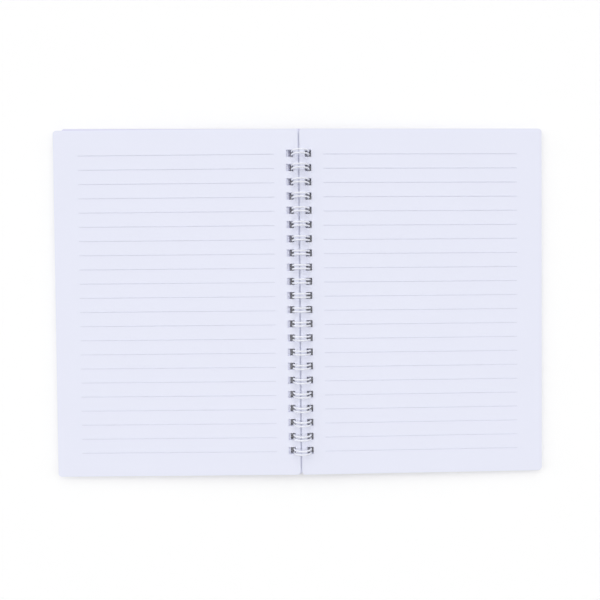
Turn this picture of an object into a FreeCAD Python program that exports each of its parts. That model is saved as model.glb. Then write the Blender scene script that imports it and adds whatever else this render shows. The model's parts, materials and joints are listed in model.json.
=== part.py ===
import FreeCAD, Part

import math
import os

import Sketcher
from FreeCAD import Vector

# An open A5 notebook on a twin-loop wire, lying on a table with its two halves turned out.
# +X runs to the right across both pages, +Y up the page along the spine and +Z up.
# The origin is on the table, below the middle of the spine.
# Each half lies in a leaf frame: its origin is on the ring axis and it dips outward to the table.


# Driving dimensions, in millimetres and degrees

SIZES = [
    ("leaf_width", 145.5, "a leaf, from its punched edge to its fore edge"),
    ("leaf_height", 207.0, "trimmed height of a leaf"),
    ("corner_radius", 2.0, "rounded outer corners of leaves and covers"),
    ("lower_thickness", 1.65, "one half's lower leaves"),
    ("upper_thickness", 0.9, "the leaves over them, drawn back from the spine on the left"),
    ("top_thickness", 0.2, "the uppermost leaves, which were dragged along the wire"),
    ("closing_clearance", 0.05, "each half's uppermost leaf lies this far below the ring axis"),
    ("cover_thickness", 0.5, "card of the covers"),
    ("cover_gap", 0.05, "air between a cover and the leaves on it"),
    ("cover_overhang", 0.8, "covers beyond the leaves at the head and at the tail"),
    ("back_cover_overhang", 0.4, "back cover beyond the lower leaves at the fore edge"),
    ("front_cover_inset", 1.5, "front cover's fore edge inside that of the lower leaves"),
    ("front_cover_turn", 0.4, "front cover turned on the wire, seen from above"),
    ("spine_clearance", 0.07, "front cover's turned corner, short of the ring axis"),
    ("hole_pitch", 25.4 / 3, "three pairs of loops to the inch"),
    ("hole_size", 4.3, "square punched hole"),
    ("hole_margin", 2.65, "paper between the punched edge and a hole"),
    ("end_margin", 12.0, "least distance from the head or tail to the first hole's centre"),
    ("ring_headroom", 1.2, "air between a cover and the wire straight below it"),
    ("wire_diameter", 1.0, "coated wire"),
    ("lower_play", 0.2, "a lower leaf's hole, from its spine side to the wire in it"),
    ("left_play", 0.4, "a left top leaf's hole, from its spine side to the wire in it"),
    ("right_play", 1.0, "a right top leaf's hole, from the wire in it to its far side"),
    ("layer_step", 0.2, "the left half's upper leaves, past the top leaf at the spine"),
    ("cover_play", 0.1, "front cover's tightest hole, from its spine side to the wire in it"),
    ("loop_play", 0.6, "a hole's head and tail sides, beyond its pair of loops"),
    ("heel_radius", 0.9, "bends where a loop meets the wire to the next pair"),
    ("tip_gap", 0.3, "closed tip, short of the heel's bend"),
]

DERIVED = [
    ("leaf_top", "= 0 - closing_clearance"),
    ("upper_top", "= leaf_top - top_thickness"),
    ("lower_top", "= upper_top - upper_thickness"),
    ("lower_base", "= lower_top - lower_thickness"),
    ("cover_top", "= lower_base - cover_gap"),
    ("cover_base", "= cover_top - cover_thickness"),
    ("loop_inside", "= ring_headroom - cover_base"),
    ("loop_radius", "= loop_inside + wire_diameter / 2"),
    ("ring_height", "= loop_inside + wire_diameter"),
    ("loop_spacing", "= hole_size - wire_diameter - 2 * loop_play"),
    ("tip_angle", "= (heel_radius + loop_spacing / 2 + wire_diameter + tip_gap)"
                  " / loop_radius * 180 / pi"),
    ("hole_count", "= floor((leaf_height - 2 * end_margin) / hole_pitch) + 1"),
    ("first_hole", "= 0 - hole_pitch * (hole_count - 1) / 2"),
    ("wire_at_cover", "= sqrt(loop_inside ^ 2 - cover_base ^ 2)"),
    ("lower_hole", "= wire_at_cover - lower_play"),
    ("lower_spine", "= lower_hole - hole_margin"),
    ("left_top_hole", "= loop_inside - left_play"),
    ("left_top_spine", "= left_top_hole - hole_margin"),
    ("left_upper_hole", "= left_top_hole - layer_step"),
    ("left_upper_spine", "= left_upper_hole - hole_margin"),
    ("right_top_hole", "= ring_height + right_play - hole_size"),
    ("right_top_spine", "= right_top_hole - hole_margin"),
    ("cover_height", "= leaf_height + 2 * cover_overhang"),
    ("back_cover_edge", "= lower_spine + leaf_width + back_cover_overhang"),
    ("front_cover_edge", "= lower_spine + leaf_width - front_cover_inset"),
    ("front_cover_spine", "= spine_clearance"
                          " + cover_height / 2 * sin(front_cover_turn * 1deg)"),
    ("front_cover_hole", "= wire_at_cover - cover_play"
                         " + first_hole * sin(front_cover_turn * 1deg)"),
    ("front_cover_reach", "= front_cover_edge * cos(front_cover_turn * 1deg)"
                          " + cover_height / 2 * sin(front_cover_turn * 1deg)"),
    ("left_dip", "= asin(ring_height / hypot(front_cover_reach; cover_base))"
                 " - atan(0 - cover_base / front_cover_reach)"),
    ("right_dip", "= asin(ring_height / hypot(back_cover_edge; cover_base))"
                  " - atan(0 - cover_base / back_cover_edge)"),
]

doc = FreeCAD.newDocument("OpenNotebook")
sheet = doc.addObject("Spreadsheet::Sheet", "Sizes")


def fill_sheet():
    for row, (name, value, meaning) in enumerate(SIZES, start=1):
        sheet.set(f"A{row}", name)
        sheet.set(f"B{row}", repr(value))
        sheet.setAlias(f"B{row}", name)
        sheet.set(f"C{row}", meaning)
    for row, (name, formula) in enumerate(DERIVED, start=len(SIZES) + 1):
        sheet.set(f"A{row}", name)
        sheet.set(f"B{row}", formula)
        sheet.setAlias(f"B{row}", name)
    doc.recompute()


def size(name):
    value = sheet.get(name)
    return float(getattr(value, "Value", value))


# Sketch helpers

def origin_part(body, role):
    return next(part for part in body.Origin.OriginFeatures if part.Role == role)


def sketch_at(body, name, height):
    # A sketch parallel to the leaf, at a height given as a formula in the sheet's sizes.
    sketch = body.newObject("Sketcher::SketchObject", name)
    sketch.AttachmentSupport = [(origin_part(body, "XY_Plane"), "")]
    sketch.MapMode = "FlatFace"
    sketch.setExpression("AttachmentOffset.Base.z", height)
    return sketch


def value_of(item, formula):
    return float(item.evalExpression(formula))


def pin(sketch, kind, geometry, end, formula):
    # Ties one end of a line to its distance from the origin. A sketch distance runs from the lower
    # point to the higher one, so one on the negative side starts at the line's end.
    value = value_of(sketch, formula)
    points = (-1, 1, geometry, end) if value >= 0 else (geometry, end, -1, 1)
    number = sketch.addConstraint(Sketcher.Constraint(kind, *points, abs(value)))
    sign = "" if value >= 0 else "-1 * "
    sketch.setExpression(f"Constraints[{number}]", f"{sign}({formula})")


def draw_box(sketch, left, right, low, high, corner=None):
    # A rectangle whose two right-hand corners are rounded where a corner radius is given.
    x0, x1, y0, y1 = (value_of(sketch, formula) for formula in (left, right, low, high))
    radius = value_of(sketch, corner) if corner else 0.0
    runs = [
        ((x0, y0), (x1 - radius, y0)),
        ((x1, y0 + radius), (x1, y1 - radius)),
        ((x1 - radius, y1), (x0, y1)),
        ((x0, y1), (x0, y0)),
    ]
    for start, end in runs:
        sketch.addGeometry(Part.LineSegment(Vector(*start, 0), Vector(*end, 0)), False)
    bottom, right_side, top, left_side = range(4)
    constraints = [("Horizontal", bottom), ("Vertical", right_side), ("Horizontal", top),
                   ("Vertical", left_side), ("Coincident", top, 2, left_side, 1),
                   ("Coincident", left_side, 2, bottom, 1)]
    if corner:
        for centre, first, before, after in (
                ((x1 - radius, y0 + radius), -90, bottom, right_side),
                ((x1 - radius, y1 - radius), 0, right_side, top)):
            circle = Part.Circle(Vector(*centre, 0), Vector(0, 0, 1), radius)
            turn = (math.radians(first), math.radians(first + 90))
            arc = sketch.addGeometry(Part.ArcOfCircle(circle, *turn), False)
            constraints.append(("Tangent", before, 2, arc, 1))
            constraints.append(("Tangent", arc, 2, after, 1))
            number = sketch.addConstraint(Sketcher.Constraint("Radius", arc, radius))
            sketch.setExpression(f"Constraints[{number}]", corner)
    else:
        constraints.append(("Coincident", bottom, 2, right_side, 1))
        constraints.append(("Coincident", right_side, 2, top, 1))
    for words in constraints:
        sketch.addConstraint(Sketcher.Constraint(*words))
    pin(sketch, "DistanceX", left_side, 1, left)
    pin(sketch, "DistanceX", right_side, 1, right)
    pin(sketch, "DistanceY", left_side, 2, low)
    pin(sketch, "DistanceY", left_side, 1, high)


# Leaves and covers

def add_layer(body, name, spine, edge, top, base, height, hole_start):
    # One layer of a half: a flat slab with rounded outer corners and a row of square holes.
    # The layers go from the lowest up, and the holes of one stop at its own underside.
    thickness = f"({top}) - ({base})"
    outline = sketch_at(body, f"{name}_outline", base)
    draw_box(outline, spine, edge, f"{height} / -2", f"{height} / 2", "Sizes.corner_radius")
    pad = body.newObject("PartDesign::Pad", f"{name}_pad")
    pad.Profile = outline
    pad.setExpression("Length", thickness)
    doc.recompute()

    punch = sketch_at(body, f"{name}_punch", top)
    draw_box(punch, hole_start, f"{hole_start} + Sizes.hole_size",
             "Sizes.first_hole - Sizes.hole_size / 2", "Sizes.first_hole + Sizes.hole_size / 2")
    hole = body.newObject("PartDesign::Pocket", f"{name}_hole")
    hole.Profile = punch
    hole.Type = "Length"
    hole.setExpression("Length", thickness)
    doc.recompute()

    row = body.newObject("PartDesign::LinearPattern", f"{name}_hole_row")
    row.Originals = [hole]
    row.Direction = (origin_part(body, "Y_Axis"), [""])
    row.setExpression("Length", "Sizes.hole_pitch * (Sizes.hole_count - 1)")
    row.setExpression("Occurrences", "Sizes.hole_count")
    doc.recompute()
    body.Tip = row
    doc.recompute()

    wanted = size("hole_size") ** 2 * size("hole_count") * value_of(body, thickness)
    punched = pad.Shape.Volume - body.Shape.Volume
    if abs(punched - wanted) > 0.001 * wanted:
        raise RuntimeError(f"{name}: the holes take {punched:.2f} mm3 where {wanted:.2f} was meant")


def new_half(name):
    body = doc.addObject("PartDesign::Body", name)
    body.Label = name
    return body


def lying(dip, turn="0"):
    # A half on the right dips about the ring axis. A half on the left is turned round first.
    up = "vector(0; 0; 1)"
    along = "vector(0; 1; 0)"
    spin = f"rotation({along}; {dip}) * rotation({up}; {turn})"
    return f"placement(vector(0; 0; Sizes.ring_height); {spin})"


RIGHT = lying("Sizes.right_dip")
LEFT = lying("-1 * Sizes.left_dip", "180")
LEFT_TURNED = lying("-1 * Sizes.left_dip", "180 - Sizes.front_cover_turn")


# From the lowest layer up: its name, its top, its base and the place of its spine edge and holes.
# The left half's upper leaves stay clear of the circle in which the right half's top leaf turns.
LEFT_LAYERS = [
    ("lower", "lower_top", "lower_base", "lower"),
    ("upper", "upper_top", "lower_top", "left_upper"),
    ("top", "leaf_top", "upper_top", "left_top"),
]
RIGHT_LAYERS = [
    ("block", "upper_top", "lower_base", "lower"),
    ("top", "leaf_top", "upper_top", "right_top"),
]


def pages(name, layers, placement):
    body = new_half(name)
    for layer, top, base, where in layers:
        spine = f"Sizes.{where}_spine"
        add_layer(body, f"{name}_{layer}", spine, f"{spine} + Sizes.leaf_width", f"Sizes.{top}",
                  f"Sizes.{base}", "Sizes.leaf_height", f"Sizes.{where}_hole")
    body.setExpression("Placement", placement)
    return body


def cover(name, spine, hole_start, placement):
    body = new_half(name)
    add_layer(body, f"{name}_card", spine, f"Sizes.{name}_edge", "Sizes.cover_top",
              "Sizes.cover_base", "Sizes.cover_height", hole_start)
    body.setExpression("Placement", placement)
    return body


# The twin-loop wire

class Tube:
    """A round wire grown run by run, each run starting on the circle that the last one ended on."""

    def __init__(self, start, heading, radius):
        self.point = start
        self.heading = heading
        self.radius = radius
        self.length = 0.0
        self.rim = Part.makeCircle(radius, start, heading)
        self.faces = [Part.Face(Part.Wire([self.rim]))]

    def straight(self, length):
        step = self.heading * length
        self.faces.append(self.rim.extrude(step))
        self.rim = self.rim.translated(step)
        self.point = self.point + step
        self.length += length

    def bend(self, centre, axis, degrees):
        self.faces.append(self.rim.revolve(centre, axis, degrees))
        turn = FreeCAD.Rotation(axis, degrees)
        self.rim = self.rim.rotated(centre, axis, degrees)
        self.length += math.radians(abs(degrees)) * (self.point - centre).Length
        self.point = centre + turn.multVec(self.point - centre)
        self.heading = turn.multVec(self.heading)

    def solid(self):
        self.faces.append(Part.Face(Part.Wire([self.rim])))
        skin = Part.makeShell(self.faces)
        skin.sewShape()
        body = Part.makeSolid(skin)
        if body.Volume < 0:
            body.reverse()
        return body


def twin_loop_wire():
    # The wire goes round one loop, turns back at the tip, goes round the second loop
    # and runs along the heel to the next pair. The heel lies straight below the ring axis.
    loop_radius = size("loop_radius")
    tip_radius = size("loop_spacing") / 2
    heel_radius = size("heel_radius")
    heel_run = size("hole_pitch") - size("loop_spacing") - 2 * heel_radius
    loop_turn = 360 - size("tip_angle")
    along = Vector(0, 1, 0)
    up = Vector(0, 0, 1)
    start = Vector(0, size("first_hole") - tip_radius, -loop_radius)
    wire = Tube(start, Vector(-1, 0, 0), size("wire_diameter") / 2)
    pairs = int(round(size("hole_count")))
    for pair in range(pairs):
        ring_centre = Vector(0, wire.point.y, 0)
        wire.bend(ring_centre, along, loop_turn)
        outward = (wire.point - ring_centre).normalize()
        turning_way = outward if outward.cross(wire.heading).dot(along) > 0 else -outward
        wire.bend(wire.point + along * tip_radius, turning_way, 180)
        ring_centre = Vector(0, wire.point.y, 0)
        wire.bend(ring_centre, along, -loop_turn)
        if pair < pairs - 1:
            wire.bend(wire.point + along * heel_radius, up, 90)
            wire.straight(heel_run)
            wire.bend(wire.point + Vector(-heel_radius, 0, 0), up, 90)
    solid = wire.solid()
    meant = wire.length * math.pi * wire.radius ** 2
    if abs(solid.Volume - meant) > 0.002 * meant:
        raise RuntimeError(f"wire: volume {solid.Volume:.2f} mm3 where {meant:.2f} was meant")
    print(f"wire: {wire.length:.0f} mm long, {solid.Volume:.1f} mm3, section x length {meant:.1f} mm3")

    node = doc.addObject("Part::Feature", "twin_loop_wire")
    node.Label = "twin_loop_wire"
    node.Shape = solid
    node.setExpression("Placement", lying("0"))
    return node


def build_notebook():
    fill_sheet()
    nodes = [twin_loop_wire()]
    nodes.append(cover("front_cover", "Sizes.front_cover_spine", "Sizes.front_cover_hole",
                       LEFT_TURNED))
    nodes.append(pages("left_pages", LEFT_LAYERS, LEFT))
    nodes.append(pages("right_pages", RIGHT_LAYERS, RIGHT))
    nodes.append(cover("back_cover", "Sizes.lower_spine", "Sizes.lower_hole", RIGHT))
    doc.recompute()
    return nodes


def check_and_write(nodes):
    for item in doc.Objects:
        if {"Invalid", "Error"} & set(item.State):
            raise RuntimeError(f"{item.Label} failed: {item.State}")
    for node in nodes:
        if node.Shape.isNull() or not node.Shape.isValid() or len(node.Shape.Solids) != 1:
            raise RuntimeError(f"{node.Label} is not one valid solid")
    os.makedirs("parts", exist_ok=True)
    for node in nodes:
        node.Shape.exportStep(f"parts/{node.Label}.step")
        box = node.Shape.BoundBox
        print(f"{node.Label}: x {box.XMin:.2f} to {box.XMax:.2f}, y {box.YMin:.2f} to {box.YMax:.2f},"
              f" z {box.ZMin:.2f} to {box.ZMax:.2f}, {node.Shape.Volume:.0f} mm3")


check_and_write(build_notebook())
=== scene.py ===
import json
import math
import random

import bpy
from bpy.props import FloatProperty, FloatVectorProperty, IntProperty, PointerProperty
from bpy.types import Operator, Panel, PropertyGroup
from mathutils import Matrix, Vector


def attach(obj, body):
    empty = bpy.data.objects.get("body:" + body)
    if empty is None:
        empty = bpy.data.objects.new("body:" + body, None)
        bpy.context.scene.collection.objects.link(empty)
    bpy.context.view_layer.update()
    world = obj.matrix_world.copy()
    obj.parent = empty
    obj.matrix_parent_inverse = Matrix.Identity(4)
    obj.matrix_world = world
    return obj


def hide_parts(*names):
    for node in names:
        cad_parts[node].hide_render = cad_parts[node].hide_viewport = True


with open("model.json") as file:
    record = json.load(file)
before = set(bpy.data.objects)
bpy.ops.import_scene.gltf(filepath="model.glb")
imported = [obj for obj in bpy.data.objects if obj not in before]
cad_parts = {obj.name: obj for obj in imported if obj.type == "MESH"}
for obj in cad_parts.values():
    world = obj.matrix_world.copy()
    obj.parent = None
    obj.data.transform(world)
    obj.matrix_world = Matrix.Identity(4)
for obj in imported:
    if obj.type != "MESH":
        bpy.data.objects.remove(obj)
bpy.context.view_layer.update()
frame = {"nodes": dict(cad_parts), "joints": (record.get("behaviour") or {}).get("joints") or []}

bl_info = {
    "name": "Open Wire-bound Notebook",
    "version": (1, 0, 0),
    "blender": (4, 5, 0),
    "location": "3D View > Sidebar > Notebook",
    "description": "Builds the leaves, ruling, wire, covers and stage of an open ruled notebook",
    "category": "Add Mesh",
}

MM = 0.001
RING_AXIS = Vector(frame["joints"][0]["pos_m"])
LEFT, RIGHT = -1, 1
BODY = {LEFT: "left_leaves", RIGHT: "right_leaves"}
NODE = {LEFT: "left_pages", RIGHT: "right_pages"}
SIDE_NAME = {LEFT: "left", RIGHT: "right"}
# Shares and steps that no user would change.
CORNER_SEGMENTS = 6
LINE_END_SEGMENTS = 3
LINE_END_ROUNDING = 0.4  # of the line's width
PAPER_SHARE = 0.96  # of a leaf's place in the stack, the rest is air
CUT_REACH = 1.02  # of the wire's radius, where the last heel is cut off
WIRE_SMOOTHING = math.radians(50)
MERGE_DISTANCE = 0.02 * MM
UPRIGHT_SLACK = 0.001 * MM


# Sizes and colours that a user would change

class NotebookSizes(PropertyGroup):
    leaf_width: FloatProperty(
        name="Leaf width", description="From the punched edge to the fore edge",
        default=145.5 * MM, unit="LENGTH")
    leaf_height: FloatProperty(
        name="Leaf height", description="From head to tail", default=207 * MM, unit="LENGTH")
    corner_radius: FloatProperty(
        name="Corner radius", description="Rounded outer corners of the leaves",
        default=2 * MM, unit="LENGTH")
    leaf_thickness: FloatProperty(
        name="Leaf thickness", description="One sheet of paper", default=0.1 * MM, unit="LENGTH")
    top_leaves: IntProperty(
        name="Uppermost leaves", description="Leaves dragged along the wire in each half", default=2)
    upper_leaves: IntProperty(
        name="Upper leaves", description="Leaves below the uppermost ones", default=9)
    lower_leaves: IntProperty(
        name="Lower leaves", description="Leaves down to the cover", default=16)
    left_top_spine: FloatProperty(
        name="Left top leaf", description="From the ring axis to its punched edge",
        default=1.5 * MM, unit="LENGTH")
    left_upper_spine: FloatProperty(
        name="Left upper leaves", description="From the ring axis to their punched edge",
        default=1.3 * MM, unit="LENGTH")
    right_top_spine: FloatProperty(
        name="Right top leaf", description="From the ring axis to its punched edge, which is past it",
        default=-0.4 * MM, unit="LENGTH")
    lower_spine: FloatProperty(
        name="Lower leaves' edge", description="From the ring axis to their punched edge",
        default=0.23 * MM, unit="LENGTH")
    closing_clearance: FloatProperty(
        name="Closing clearance", description="Uppermost leaf below the ring axis",
        default=0.05 * MM, unit="LENGTH")
    straying: FloatProperty(
        name="Straying", description="How far a leaf in a block strays from its neighbours",
        default=0.12 * MM, unit="LENGTH")
    hole_size: FloatProperty(
        name="Hole size", description="Side of a square punched hole",
        default=4.3 * MM, unit="LENGTH")
    hole_pitch: FloatProperty(
        name="Hole pitch", description="Three pairs of loops to the inch",
        default=25.4 / 3 * MM, unit="LENGTH")
    hole_margin: FloatProperty(
        name="Hole margin", description="Paper between the punched edge and a hole",
        default=2.65 * MM, unit="LENGTH")
    hole_count: IntProperty(name="Holes", description="Punched holes in a leaf", default=22)
    back_reach: FloatProperty(
        name="Back cover reach", description="From the ring axis to the back cover's fore edge",
        default=146.13 * MM, unit="LENGTH")
    front_reach: FloatProperty(
        name="Front cover reach", description="From the ring axis to the front cover's far corner",
        default=144.95 * MM, unit="LENGTH")
    cover_depth: FloatProperty(
        name="Cover depth", description="From the ring axis down to a cover's underside",
        default=3.35 * MM, unit="LENGTH")


class WireSizes(PropertyGroup):
    loop_radius: FloatProperty(
        name="Loop radius", description="To the middle of the wire", default=5.05 * MM, unit="LENGTH")
    wire_radius: FloatProperty(
        name="Wire radius", description="Half the coated wire", default=0.5 * MM, unit="LENGTH")
    loop_spacing: FloatProperty(
        name="Loop spacing", description="Between the two loops of a pair",
        default=2.1 * MM, unit="LENGTH")
    heel_radius: FloatProperty(
        name="Heel radius", description="Bends into the run to the next pair",
        default=0.9 * MM, unit="LENGTH")
    tip_gap: FloatProperty(
        name="Tip gap", description="Closed tip, short of the heel's bend",
        default=0.3 * MM, unit="LENGTH")
    facets: IntProperty(name="Facets", description="Sides of the round wire", default=14)
    loop_steps: IntProperty(name="Loop steps", description="Steps round one loop", default=44)
    bend_steps: IntProperty(name="Bend steps", description="Steps in a quarter bend", default=5)


class RulingSizes(PropertyGroup):
    line_count: IntProperty(name="Lines", description="Ruled lines on a page", default=22)
    line_width: FloatProperty(
        name="Line width", description="Thickness of a printed line", default=0.3 * MM, unit="LENGTH")
    line_length: FloatProperty(
        name="Line length", description="From end to end", default=116.8 * MM, unit="LENGTH")
    inner_margin: FloatProperty(
        name="Inner margin", description="From the punched edge to a line",
        default=14.1 * MM, unit="LENGTH")
    drop: FloatProperty(
        name="Drop", description="Lines below the middles of the holes",
        default=0.5 * MM, unit="LENGTH")
    ink_height: FloatProperty(
        name="Ink height", description="Ink above the paper", default=0.004 * MM, unit="LENGTH")


class NotebookColours(PropertyGroup):
    paper: FloatVectorProperty(
        name="Paper", description="Cool white writing paper", subtype="COLOR", size=3,
        default=(0.807, 0.823, 0.939))
    # Pale lavender white card with painted shade: as dark as the card looks in shadow under the leaves.
    card: FloatVectorProperty(
        name="Card", description="Lavender grey cover card", subtype="COLOR", size=3,
        default=(0.715, 0.708, 0.875))
    coating: FloatVectorProperty(
        name="Coating", description="White coating of the wire", subtype="COLOR", size=3,
        default=(0.85, 0.865, 0.935))
    ink: FloatVectorProperty(
        name="Ink", description="Pale grey ruling", subtype="COLOR", size=3,
        default=(0.71, 0.72, 0.82))
    floor: FloatVectorProperty(
        name="Floor", description="Plain white floor", subtype="COLOR", size=3,
        default=(1.0, 1.0, 1.0))


def sizes():
    return bpy.context.scene.notebook_sizes


def wire_sizes():
    return bpy.context.scene.notebook_wire


def ruling_sizes():
    return bpy.context.scene.notebook_ruling


def colours():
    return bpy.context.scene.notebook_colours


# Material maths

class Shade:
    """A socket in a material, with operators that add the nodes they stand for."""

    def __init__(self, finish, socket):
        self.finish = finish
        self.socket = socket

    def join(self, operation, first, second):
        node = self.finish.node("ShaderNodeMath", {"operation": operation}, {0: first, 1: second})
        return Shade(self.finish, node.outputs[0])

    def __add__(self, other):
        return self.join("ADD", self, other)

    def __radd__(self, other):
        return self.join("ADD", other, self)

    def __mul__(self, other):
        return self.join("MULTIPLY", self, other)

    def __rmul__(self, other):
        return self.join("MULTIPLY", other, self)


class Finish:
    """A material with one Principled shader, built up socket by socket."""

    def __init__(self, name):
        self.material = bpy.data.materials.new(name)
        self.material.use_nodes = True
        self.tree = self.material.node_tree
        self.tree.nodes.clear()
        self.shader = self.node("ShaderNodeBsdfPrincipled", {}, {})
        self.node("ShaderNodeOutputMaterial", {}, {0: self.shader.outputs[0]})

    def node(self, kind, settings, inputs):
        made = self.tree.nodes.new(kind)
        for setting, value in settings.items():
            setattr(made, setting, value)
        for name, value in inputs.items():
            self.feed(made.inputs[name], value)
        return made

    def feed(self, socket, value):
        if isinstance(value, Shade):
            value = value.socket
        if isinstance(value, bpy.types.NodeSocket):
            self.tree.links.new(value, socket)
        else:
            socket.default_value = value

    def place(self, stretch):
        where = self.node("ShaderNodeTexCoord", {}, {})
        mapping = self.node("ShaderNodeMapping", {}, {"Vector": where.outputs["Object"], "Scale": stretch})
        return mapping.outputs[0]

    def noise(self, scale, detail, stretch=(1.0, 1.0, 1.0)):
        made = self.node("ShaderNodeTexNoise", {}, {
            "Vector": self.place(stretch), "Scale": scale, "Detail": detail})
        return Shade(self, made.outputs[0])

    def tint(self, amount, dark, light):
        made = self.node("ShaderNodeMix", {"data_type": "RGBA"}, {
            "Factor": amount, 6: tuple(dark) + (1.0,), 7: tuple(light) + (1.0,)})
        return made.outputs[2]

    def surface(self, **sockets):
        for name, value in sockets.items():
            self.feed(self.shader.inputs[name.replace("_", " ")], value)

    def bump(self, height, distance, strength):
        made = self.node("ShaderNodeBump", {}, {
            "Height": height, "Distance": distance, "Strength": strength})
        self.feed(self.shader.inputs["Normal"], made.outputs[0])


def shaded(colour, factor):
    return tuple(min(1.0, channel * factor) for channel in colour)


def writing_paper():
    # Smooth uncoated paper: faint clouds from the pulp and a fine felt-side grain.
    finish = Finish("writing_paper")
    paper = tuple(colours().paper)
    clouds = finish.noise(26.0, 3.0)
    grain = finish.noise(2600.0, 4.0, (1.0, 0.6, 1.0))
    look = clouds * 0.75 + grain * 0.25
    finish.surface(
        Base_Color=finish.tint(look, shaded(paper, 0.985), shaded(paper, 1.015)),
        Roughness=grain * 0.12 + 0.72,
        Specular_IOR_Level=0.25)
    finish.bump(grain + clouds * 0.3, 0.02 * MM, 0.35)
    return finish.material


def cover_card():
    # Matt card with a slightly longer fibre than the leaves. Its colour is the card's own pale lavender
    # white, darkened by painted shade to the tone it has in shadow under the leaves.
    finish = Finish("cover_card")
    card = tuple(colours().card)
    clouds = finish.noise(40.0, 4.0)
    fibres = finish.noise(1500.0, 5.0, (1.0, 0.25, 1.0))
    look = clouds * 0.5 + fibres * 0.5
    finish.surface(
        Base_Color=finish.tint(look, shaded(card, 0.95), shaded(card, 1.05)),
        Roughness=fibres * 0.15 + 0.62,
        Specular_IOR_Level=0.3)
    finish.bump(fibres, 0.03 * MM, 0.4)
    return finish.material


def wire_coating():
    # Thin white nylon coating, a little glossier than the paper and not quite even.
    finish = Finish("wire_coating")
    coating = tuple(colours().coating)
    unevenness = finish.noise(420.0, 3.0)
    finish.surface(
        Base_Color=finish.tint(unevenness, shaded(coating, 0.96), shaded(coating, 1.04)),
        Roughness=unevenness * 0.16 + 0.3,
        Coat_Roughness=0.25,
        Coat_Weight=0.2)
    finish.bump(unevenness, 0.01 * MM, 0.3)
    return finish.material


def ruling_ink():
    # Thin printer's ink that lets the paper's grain through.
    finish = Finish("ruling_ink")
    ink = tuple(colours().ink)
    grain = finish.noise(3000.0, 3.0)
    finish.surface(
        Base_Color=finish.tint(grain, shaded(ink, 0.92), shaded(ink, 1.1)),
        Roughness=grain * 0.1 + 0.7)
    return finish.material


def floor_white():
    finish = Finish("floor_white")
    finish.surface(Base_Color=tuple(colours().floor) + (1.0,), Roughness=0.9, Specular_IOR_Level=0.0)
    return finish.material


# Modelling helpers

def deselect():
    if bpy.context.mode != "OBJECT":
        bpy.ops.object.mode_set(mode="OBJECT")
    bpy.ops.object.select_all(action="DESELECT")


def active():
    return bpy.context.view_layer.objects.active


def make_active(piece):
    deselect()
    piece.select_set(True)
    bpy.context.view_layer.objects.active = piece


def edit(kind):
    bpy.ops.object.mode_set(mode="EDIT")
    bpy.ops.mesh.select_mode(type=kind)
    bpy.ops.mesh.select_all(action="DESELECT")


def leave_edit():
    bpy.ops.object.mode_set(mode="OBJECT")


def choose(piece, parts, wanted):
    # Selects the vertices, edges or faces of an object in edit mode that a test picks.
    leave_edit()
    for part in getattr(piece.data, parts):
        part.select = wanted(part)
    bpy.ops.object.mode_set(mode="EDIT")


def apply_modifier(piece, kind, **settings):
    make_active(piece)
    bpy.ops.object.modifier_add(type=kind)
    modifier = piece.modifiers[-1]
    for setting, value in settings.items():
        setattr(modifier, setting, value)
    bpy.ops.object.modifier_apply(modifier=modifier.name)


def settle(piece, placement):
    # Puts the piece's place into its mesh, so that its object lies at the origin.
    make_active(piece)
    piece.matrix_world = placement
    bpy.context.view_layer.update()
    bpy.ops.object.transform_apply(location=True, rotation=True, scale=True)


def finish_piece(piece, name, body, material, smooth=None):
    piece.name = name
    piece.data.name = name
    piece.data.materials.clear()
    piece.data.materials.append(material)
    make_active(piece)
    if smooth is not None:
        bpy.ops.object.shade_smooth_by_angle(angle=smooth)
    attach(piece, body)


def joined(pieces):
    deselect()
    for piece in pieces:
        piece.select_set(True)
    bpy.context.view_layer.objects.active = pieces[0]
    bpy.ops.object.join()
    return active()


# Places

def dip(side):
    # A half slopes so that its cover's far corner meets the table.
    reach = sizes().back_reach if side == RIGHT else sizes().front_reach
    depth = sizes().cover_depth
    return math.asin(RING_AXIS.z / math.hypot(reach, depth)) - math.atan(depth / reach)


def half_placement(side):
    # From a half's own leaf frame, with its fore edge on the positive side, to the table.
    turned = Matrix.Rotation(math.pi, 4, "Z") if side == LEFT else Matrix.Identity(4)
    return Matrix.Translation(RING_AXIS) @ Matrix.Rotation(side * dip(side), 4, "Y") @ turned


def hole_rows():
    s = sizes()
    middle = (s.hole_count - 1) / 2
    return [(row - middle) * s.hole_pitch for row in range(s.hole_count)]


def half_layers(side):
    # From the top down: how many leaves, how far their punched edge is from the ring axis
    # and whether they stray.
    s = sizes()
    if side == LEFT:
        return [(s.top_leaves, s.left_top_spine, False),
                (s.upper_leaves, s.left_upper_spine, True),
                (s.lower_leaves, s.lower_spine, True)]
    return [(s.top_leaves, s.right_top_spine, False),
            (s.upper_leaves + s.lower_leaves, s.lower_spine, True)]


# Leaves

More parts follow.
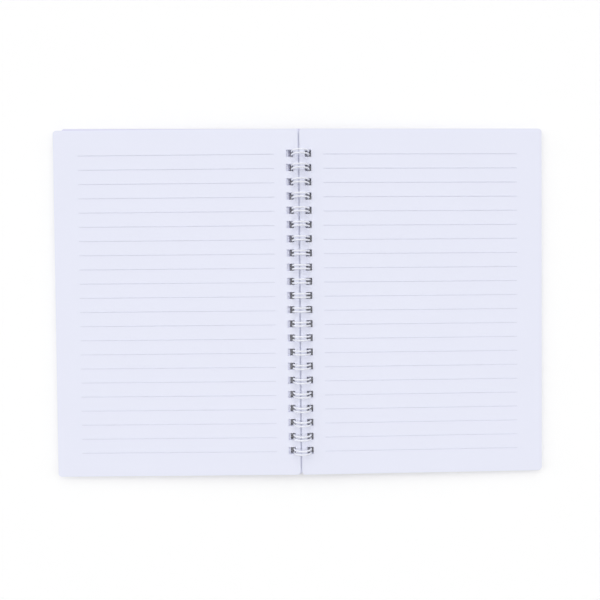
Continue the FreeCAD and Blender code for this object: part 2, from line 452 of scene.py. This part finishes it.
def flat_leaf():
    # One leaf in its own plane: punched edge at x = 0, its upper face at z = 0.
    s = sizes()
    deselect()
    bpy.ops.mesh.primitive_plane_add(size=1.0, location=(0.0, 0.0, 0.0))
    leaf = active()
    edit("VERT")
    bpy.ops.mesh.select_all(action="SELECT")
    bpy.ops.transform.resize(value=(s.leaf_width, s.leaf_height, 1.0))
    bpy.ops.transform.translate(value=(s.leaf_width / 2, 0.0, 0.0))
    choose(leaf, "vertices", lambda v: v.co.x > s.leaf_width / 2)
    bpy.ops.mesh.bevel(offset=s.corner_radius, segments=CORNER_SEGMENTS, affect="VERTICES")
    cuts = [(s.hole_margin, "X"), (s.hole_margin + s.hole_size, "X")]
    for row in hole_rows():
        cuts.append((row - s.hole_size / 2, "Y"))
        cuts.append((row + s.hole_size / 2, "Y"))
    for place, axis in cuts:
        bpy.ops.mesh.select_all(action="SELECT")
        along = Vector((1.0, 0.0, 0.0)) if axis == "X" else Vector((0.0, 1.0, 0.0))
        bpy.ops.mesh.bisect(plane_co=along * place, plane_no=along)
    bpy.ops.mesh.select_mode(type="FACE")
    choose(leaf, "polygons", in_hole)
    bpy.ops.mesh.delete(type="FACE")
    leave_edit()
    return leaf


def in_hole(face):
    s = sizes()
    across = s.hole_margin < face.center.x < s.hole_margin + s.hole_size
    along = any(abs(face.center.y - row) < s.hole_size / 2 for row in hole_rows())
    return across and along


def stack_leaves(pattern, count, spine, top, straying, dice):
    # Copies one leaf downward, each copy a little out of line with the others.
    s = sizes()
    copies = []
    for number in range(count):
        make_active(pattern)
        bpy.ops.object.duplicate()
        leaf = active()
        astray = Vector((dice.uniform(-1, 1), dice.uniform(-1, 1), 0.0)) * straying
        inside = Vector((-abs(astray.x), astray.y, 0.0))
        leaf.location = Vector((spine, 0.0, top - number * s.leaf_thickness)) + inside
        bpy.ops.object.transform_apply(location=True)
        copies.append(leaf)
    return joined(copies)


def build_half(side, dice):
    s = sizes()
    pattern = flat_leaf()
    top = -s.closing_clearance
    layers = []
    for count, spine, strays in half_layers(side):
        straying = s.straying if strays else 0.0
        layers.append(stack_leaves(pattern, count, spine, top, straying, dice))
        top -= count * s.leaf_thickness
    make_active(pattern)
    bpy.ops.object.delete()
    half = joined(layers)
    apply_modifier(half, "SOLIDIFY", thickness=s.leaf_thickness * PAPER_SHARE, offset=-1.0)
    settle(half, half_placement(side))
    return half


class NOTEBOOK_OT_leaves(Operator):
    """Stack the punched leaves of both halves"""
    bl_idname = "notebook.leaves"
    bl_label = "Leaves"

    def execute(self, context):
        paper = writing_paper()
        for side in (LEFT, RIGHT):
            half = build_half(side, random.Random(side))
            finish_piece(half, f"{SIDE_NAME[side]}_leaves", BODY[side], paper)
            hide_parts(NODE[side])
        return {"FINISHED"}


# Ruling

def build_ruling(side):
    # The lines share the holes' pitch and lie a little below them.
    s = sizes()
    r = ruling_sizes()
    deselect()
    bpy.ops.mesh.primitive_cube_add(size=1.0, location=(0.0, 0.0, 0.0))
    line = active()
    edit("VERT")
    bpy.ops.mesh.select_all(action="SELECT")
    bpy.ops.transform.resize(value=(r.line_length, r.line_width, r.ink_height))
    start = half_layers(side)[0][1] + r.inner_margin
    height = -s.closing_clearance + r.ink_height / 2
    # The left half is turned half round from its leaf frame, so down the page is +Y in it.
    first_line = hole_rows()[0] + (r.drop if side == LEFT else -r.drop)
    bpy.ops.transform.translate(value=(start + r.line_length / 2, first_line, height))
    choose(line, "edges", lambda e: upright(line, e))
    # Known fault: every vertex is still selected, so the bevel takes all twelve edges and not
    # just the upright ones. Each line comes out 0.24 mm thick, half of it above the paper.
    bpy.ops.mesh.bevel(offset=r.line_width * LINE_END_ROUNDING, segments=LINE_END_SEGMENTS)
    leave_edit()
    apply_modifier(
        line, "ARRAY", count=r.line_count, use_relative_offset=False, use_constant_offset=True,
        constant_offset_displace=(0.0, s.hole_pitch, 0.0))
    settle(line, half_placement(side))
    return line


def upright(piece, edge):
    first, last = (piece.data.vertices[number].co for number in edge.vertices)
    return (last - first).xy.length < UPRIGHT_SLACK


class NOTEBOOK_OT_ruling(Operator):
    """Print the ruled lines on both pages"""
    bl_idname = "notebook.ruling"
    bl_label = "Ruling"

    def execute(self, context):
        ink = ruling_ink()
        for side in (LEFT, RIGHT):
            line = build_ruling(side)
            finish_piece(line, f"{SIDE_NAME[side]}_ruling", BODY[side], ink)
        return {"FINISHED"}


# Wire

def spin(steps, angle, centre, axis):
    bpy.ops.mesh.spin(steps=steps, angle=angle, center=centre, axis=axis, use_normal_flip=False)


def last_ring(piece):
    # The middle of the open end that was drawn last and is still selected.
    leave_edit()
    chosen = [v.co for v in piece.data.vertices if v.select]
    middle = sum(chosen, Vector()) / len(chosen)
    bpy.ops.object.mode_set(mode="EDIT")
    return middle


def build_wire():
    # One pair of loops with the heel to the next pair, drawn by spinning the wire's round section.
    # Known fault: the loops run the other way round than in the CAD wire. Underneath, the tips lie
    # on the wrong side and fold back, and the heels don't meet the next pair of loops.
    s = sizes()
    w = wire_sizes()
    half_gap = w.loop_spacing / 2
    tip_reach = w.heel_radius + half_gap + 2 * w.wire_radius + w.tip_gap
    turn = 2 * math.pi - tip_reach / w.loop_radius
    first_loop = hole_rows()[0] - half_gap
    start = RING_AXIS + Vector((0.0, first_loop, -w.loop_radius))
    deselect()
    bpy.ops.mesh.primitive_circle_add(
        vertices=w.facets, radius=w.wire_radius, location=start, rotation=(0.0, math.pi / 2, 0.0))
    pair = active()
    bpy.ops.object.transform_apply(location=True, rotation=True, scale=True)
    edit("VERT")
    bpy.ops.mesh.select_all(action="SELECT")
    along = Vector((0.0, 1.0, 0.0))
    up = Vector((0.0, 0.0, 1.0))
    spin(w.loop_steps, turn, RING_AXIS + along * first_loop, along)
    middle = last_ring(pair)
    outward = (middle - RING_AXIS - along * first_loop).normalized()
    spin(2 * w.bend_steps, math.pi, middle + along * half_gap, -outward)
    spin(w.loop_steps, -turn, RING_AXIS + along * (first_loop + w.loop_spacing), along)
    middle = last_ring(pair)
    spin(w.bend_steps, math.pi / 2, middle + along * w.heel_radius, up)
    run = s.hole_pitch - w.loop_spacing - 2 * w.heel_radius
    bpy.ops.mesh.extrude_region_move(TRANSFORM_OT_translate={"value": along * run})
    middle = last_ring(pair)
    spin(w.bend_steps, math.pi / 2, middle - Vector((w.heel_radius, 0.0, 0.0)), up)
    leave_edit()
    apply_modifier(
        pair, "ARRAY", count=s.hole_count, use_relative_offset=False, use_constant_offset=True,
        constant_offset_displace=(0.0, s.hole_pitch, 0.0), use_merge_vertices=True,
        merge_threshold=MERGE_DISTANCE)
    cut_last_heel(pair)
    return pair


def cut_last_heel(wire):
    s = sizes()
    w = wire_sizes()
    last_loop = hole_rows()[-1] + w.loop_spacing / 2
    make_active(wire)
    edit("VERT")
    limit = last_loop + w.wire_radius * CUT_REACH
    choose(wire, "vertices", lambda v: v.co.y > limit)
    bpy.ops.mesh.delete(type="VERT")
    bpy.ops.mesh.select_all(action="SELECT")
    bpy.ops.mesh.remove_doubles(threshold=MERGE_DISTANCE)
    bpy.ops.mesh.select_all(action="DESELECT")
    bpy.ops.mesh.select_non_manifold()
    bpy.ops.mesh.edge_face_add()
    bpy.ops.mesh.select_all(action="SELECT")
    bpy.ops.mesh.normals_make_consistent(inside=False)
    leave_edit()


class NOTEBOOK_OT_wire(Operator):
    """Bend the twin-loop wire"""
    bl_idname = "notebook.wire"
    bl_label = "Wire"

    def execute(self, context):
        wire = build_wire()
        finish_piece(wire, "loop_wire", "wire", wire_coating(), WIRE_SMOOTHING)
        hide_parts("twin_loop_wire")
        return {"FINISHED"}


# Covers

class NOTEBOOK_OT_covers(Operator):
    """Give the card covers their finish"""
    bl_idname = "notebook.covers"
    bl_label = "Covers"

    def execute(self, context):
        # Both covers take the card finish, whose colour holds painted shade.
        card = cover_card()
        for node in ("front_cover", "back_cover"):
            cover = frame["nodes"][node]
            cover.data.materials.clear()
            cover.data.materials.append(card)
        return {"FINISHED"}


# Stage

CAMERA_PLACE = Vector((-4.78, 6.51, 300.0)) * MM
CAMERA_TILT = (math.radians(-0.956), math.radians(-0.775))
CAMERA_ROLL = math.radians(-0.515)
FOCAL_PIXELS = 493.0
# Each lamp: the way to it, its share of the light that makes the white floor white
# and how wide it is seen, in degrees.
LAMPS = {
    "top_lamp": ((0.0, 0.05, 1.0), 0.09, 16),
    "left_lamp": ((-1.0, 0.2, 0.65), 0.23, 60),
    "right_lamp": ((1.0, 0.2, 0.7), 0.18, 60),
    "head_lamp": ((0.0, 1.0, 0.8), 0.22, 60),
    "tail_lamp": ((0.0, -1.0, 0.65), 0.13, 60),
}
PHOTO_PIXELS = 600
SENSOR = 36.0
CLIP_START = 0.01
FLOOR_SIZE = 4.0


def add_camera():
    tip, lean = CAMERA_TILT
    turn = (Matrix.Rotation(CAMERA_ROLL, 4, "Z") @ Matrix.Rotation(lean, 4, "Y")
            @ Matrix.Rotation(tip, 4, "X"))
    deselect()
    bpy.ops.object.camera_add()
    camera = active()
    camera.name = "overhead_camera"
    camera.matrix_world = Matrix.Translation(CAMERA_PLACE) @ turn
    camera.data.sensor_width = SENSOR
    camera.data.lens = SENSOR * FOCAL_PIXELS / PHOTO_PIXELS
    camera.data.clip_start = CLIP_START
    bpy.context.scene.camera = camera


def add_lamp(name, toward, share, width):
    # An even, soft light from one side, which gives a white floor its share of full brightness.
    toward = Vector(toward).normalized()
    deselect()
    bpy.ops.object.light_add(type="SUN", location=toward)
    lamp = active()
    lamp.name = name
    lamp.data.angle = math.radians(width)
    lamp.data.energy = share * math.pi / toward.z
    lamp.rotation_mode = "QUATERNION"
    lamp.rotation_quaternion = toward.to_track_quat("Z", "Y")


def light_world(strength):
    world = bpy.data.worlds.new("soft_studio")
    bpy.context.scene.world = world
    world.use_nodes = True
    sky = next(node for node in world.node_tree.nodes if node.type == "BACKGROUND")
    sky.inputs["Color"].default_value = (1.0, 1.0, 1.0, 1.0)
    sky.inputs["Strength"].default_value = strength


class NOTEBOOK_OT_stage(Operator):
    """Add the floor, the lamps and the camera"""
    bl_idname = "notebook.stage"
    bl_label = "Stage"

    def execute(self, context):
        deselect()
        bpy.ops.mesh.primitive_plane_add(size=FLOOR_SIZE, location=(0.0, 0.0, 0.0))
        floor = active()
        floor.name = "floor"
        floor.data.materials.append(floor_white())
        for name, (toward, share, width) in LAMPS.items():
            add_lamp(name, toward, share, width)
        light_world(1.0 - sum(share for toward, share, width in LAMPS.values()))
        add_camera()
        context.scene.view_settings.view_transform = "Standard"
        return {"FINISHED"}


class NOTEBOOK_PT_panel(Panel):
    bl_label = "Open Notebook"
    bl_idname = "NOTEBOOK_PT_panel"
    bl_space_type = "VIEW_3D"
    bl_region_type = "UI"
    bl_category = "Notebook"

    def draw(self, context):
        layout = self.layout
        for group in (sizes(), wire_sizes(), ruling_sizes(), colours()):
            box = layout.box()
            for name in group.__annotations__:
                box.prop(group, name)
        for step in STEPS:
            layout.operator(step.bl_idname)


STEPS = (
    NOTEBOOK_OT_leaves,
    NOTEBOOK_OT_ruling,
    NOTEBOOK_OT_wire,
    NOTEBOOK_OT_covers,
    NOTEBOOK_OT_stage,
)
GROUPS = {
    "notebook_sizes": NotebookSizes,
    "notebook_wire": WireSizes,
    "notebook_ruling": RulingSizes,
    "notebook_colours": NotebookColours,
}
CLASSES = tuple(GROUPS.values()) + STEPS + (NOTEBOOK_PT_panel,)


def register():
    for each in CLASSES:
        bpy.utils.register_class(each)
    for name, group in GROUPS.items():
        setattr(bpy.types.Scene, name, PointerProperty(type=group))


def unregister():
    for name in GROUPS:
        delattr(bpy.types.Scene, name)
    for each in reversed(CLASSES):
        bpy.utils.unregister_class(each)


def main():
    register()
    bpy.ops.notebook.leaves()
    bpy.ops.notebook.ruling()
    bpy.ops.notebook.wire()
    bpy.ops.notebook.covers()
    bpy.ops.notebook.stage()


if __name__ == "__main__":
    main()
